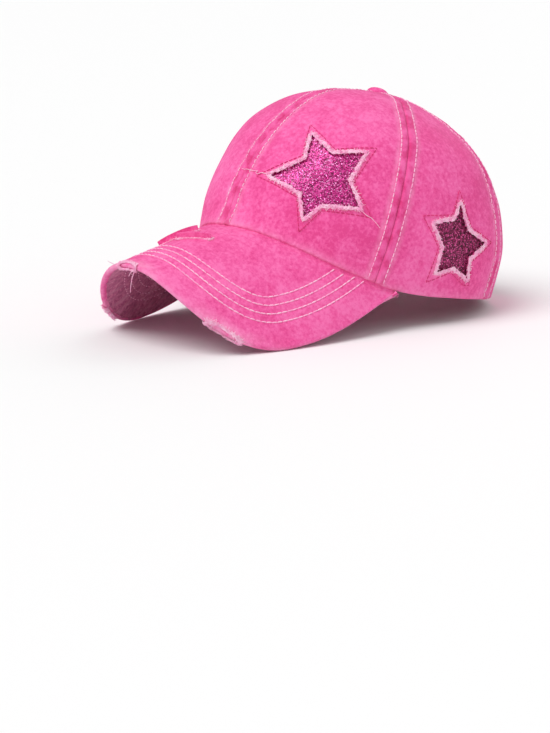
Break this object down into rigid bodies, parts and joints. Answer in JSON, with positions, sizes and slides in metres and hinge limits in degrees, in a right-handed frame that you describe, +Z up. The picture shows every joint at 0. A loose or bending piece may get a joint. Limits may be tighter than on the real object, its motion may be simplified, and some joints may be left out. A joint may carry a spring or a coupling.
{
  "type": "ponytail baseball cap",
  "caption": "Washed pink cotton baseball cap with an arched peak, star-shaped cut-outs over glitter cloth, a bound teardrop ponytail hole and a strapped back opening.",
  "frame": {"origin": "middle of the cap's box on the surface that it rests on, under the front of the head hollow", "axes": "+Z up; -Y is where the peak points; +X is the wearer's left side, which carries both stars"},
  "size_m": [0.1913, 0.288, 0.1435],
  "materials": {
    "pink_cotton": "washed bright pink cotton twill, paler along the seams and edges, matt",
    "pink_binding": "folded pink cotton tape with a washed, paler edge, matt",
    "strap_cotton": "duller pink cotton strap with pale stitching, matt",
    "inside_cotton": "deep pink inner cotton, matt",
    "glitter_cloth": "magenta glitter cloth with small bright flakes"
  },
  "bodies": {
    "root": {"front_panel_left": "pink_cotton", "front_panel_right": "pink_cotton", "side_panel_left": "pink_cotton", "side_panel_right": "pink_cotton", "back_panel_left": "pink_cotton", "back_panel_right": "pink_cotton", "button": "pink_cotton", "peak_upper": "pink_cotton", "peak_lower": "inside_cotton", "sweatband": "inside_cotton", "button_back": "inside_cotton", "seam_tape_front": "inside_cotton", "seam_tape_side_front_left": "inside_cotton", "seam_tape_side_front_right": "inside_cotton", "seam_tape_side_back_left": "inside_cotton", "seam_tape_side_back_right": "inside_cotton", "seam_tape_back": "inside_cotton", "arch_binding": "pink_binding", "ponytail_binding": "pink_binding", "strap_outer": "strap_cotton", "strap_inner": "strap_cotton", "front_star_patch": "glitter_cloth", "side_star_patch": "glitter_cloth"}
  },
  "joints": []
}
